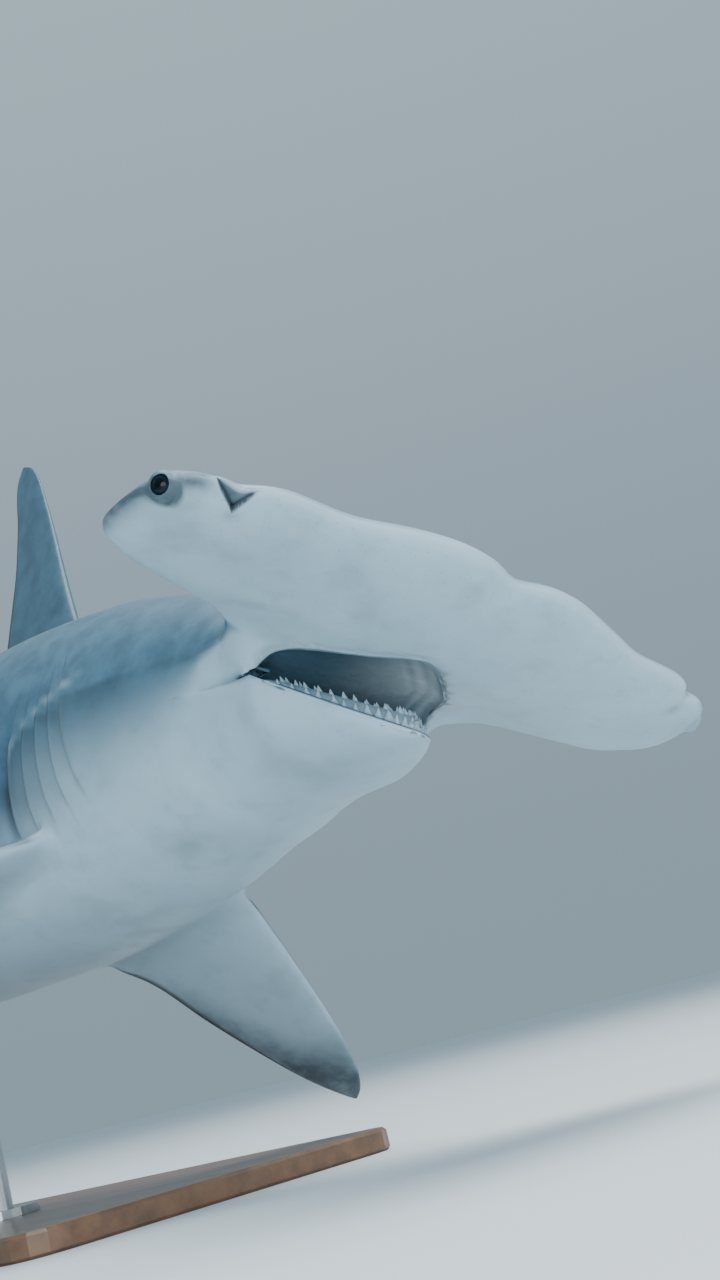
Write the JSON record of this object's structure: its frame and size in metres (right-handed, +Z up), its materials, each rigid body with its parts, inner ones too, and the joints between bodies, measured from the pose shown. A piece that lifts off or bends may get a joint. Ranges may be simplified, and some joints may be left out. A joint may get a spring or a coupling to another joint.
{
  "type": "hammerhead shark",
  "caption": "Life-size scalloped hammerhead shark, mouth open and banked to its left, as a still museum-type model on two rods over a flat rounded base.",
  "frame": {"origin": "centre of the underside of the stand's base, on the floor", "axes": "+X towards the shark's snout, along its length; +Y to its left; +Z up; -Z out of the base's underside"},
  "size_m": [3.202, 0.9291, 1.1481],
  "materials": {
    "grey_skin": "satin, grey-blue above shading to pale below",
    "pale_skin": "satin, pale underside",
    "eye": "polished dark eye",
    "rod_steel": "brushed",
    "base_board": "dark satin lacquer"
  },
  "bodies": {
    "root": {"hammer_left": "pale_skin", "hammer_right": "pale_skin", "head": "pale_skin", "lower_jaw": "pale_skin", "pectoral_fin_left": "pale_skin", "pectoral_fin_right": "pale_skin", "pelvic_fin_left": "pale_skin", "pelvic_fin_right": "pale_skin", "neck": "grey_skin", "torso_front": "grey_skin", "torso_rear": "grey_skin", "tail_stalk": "grey_skin", "caudal_lobe_upper": "grey_skin", "caudal_lobe_lower": "grey_skin", "dorsal_fin_first": "grey_skin", "dorsal_fin_second": "grey_skin", "anal_fin": "grey_skin", "eye_left": "eye", "eye_right": "eye", "stand_rod_front": "rod_steel", "stand_rod_rear": "rod_steel", "stand_base": "base_board"}
  },
  "joints": []
}
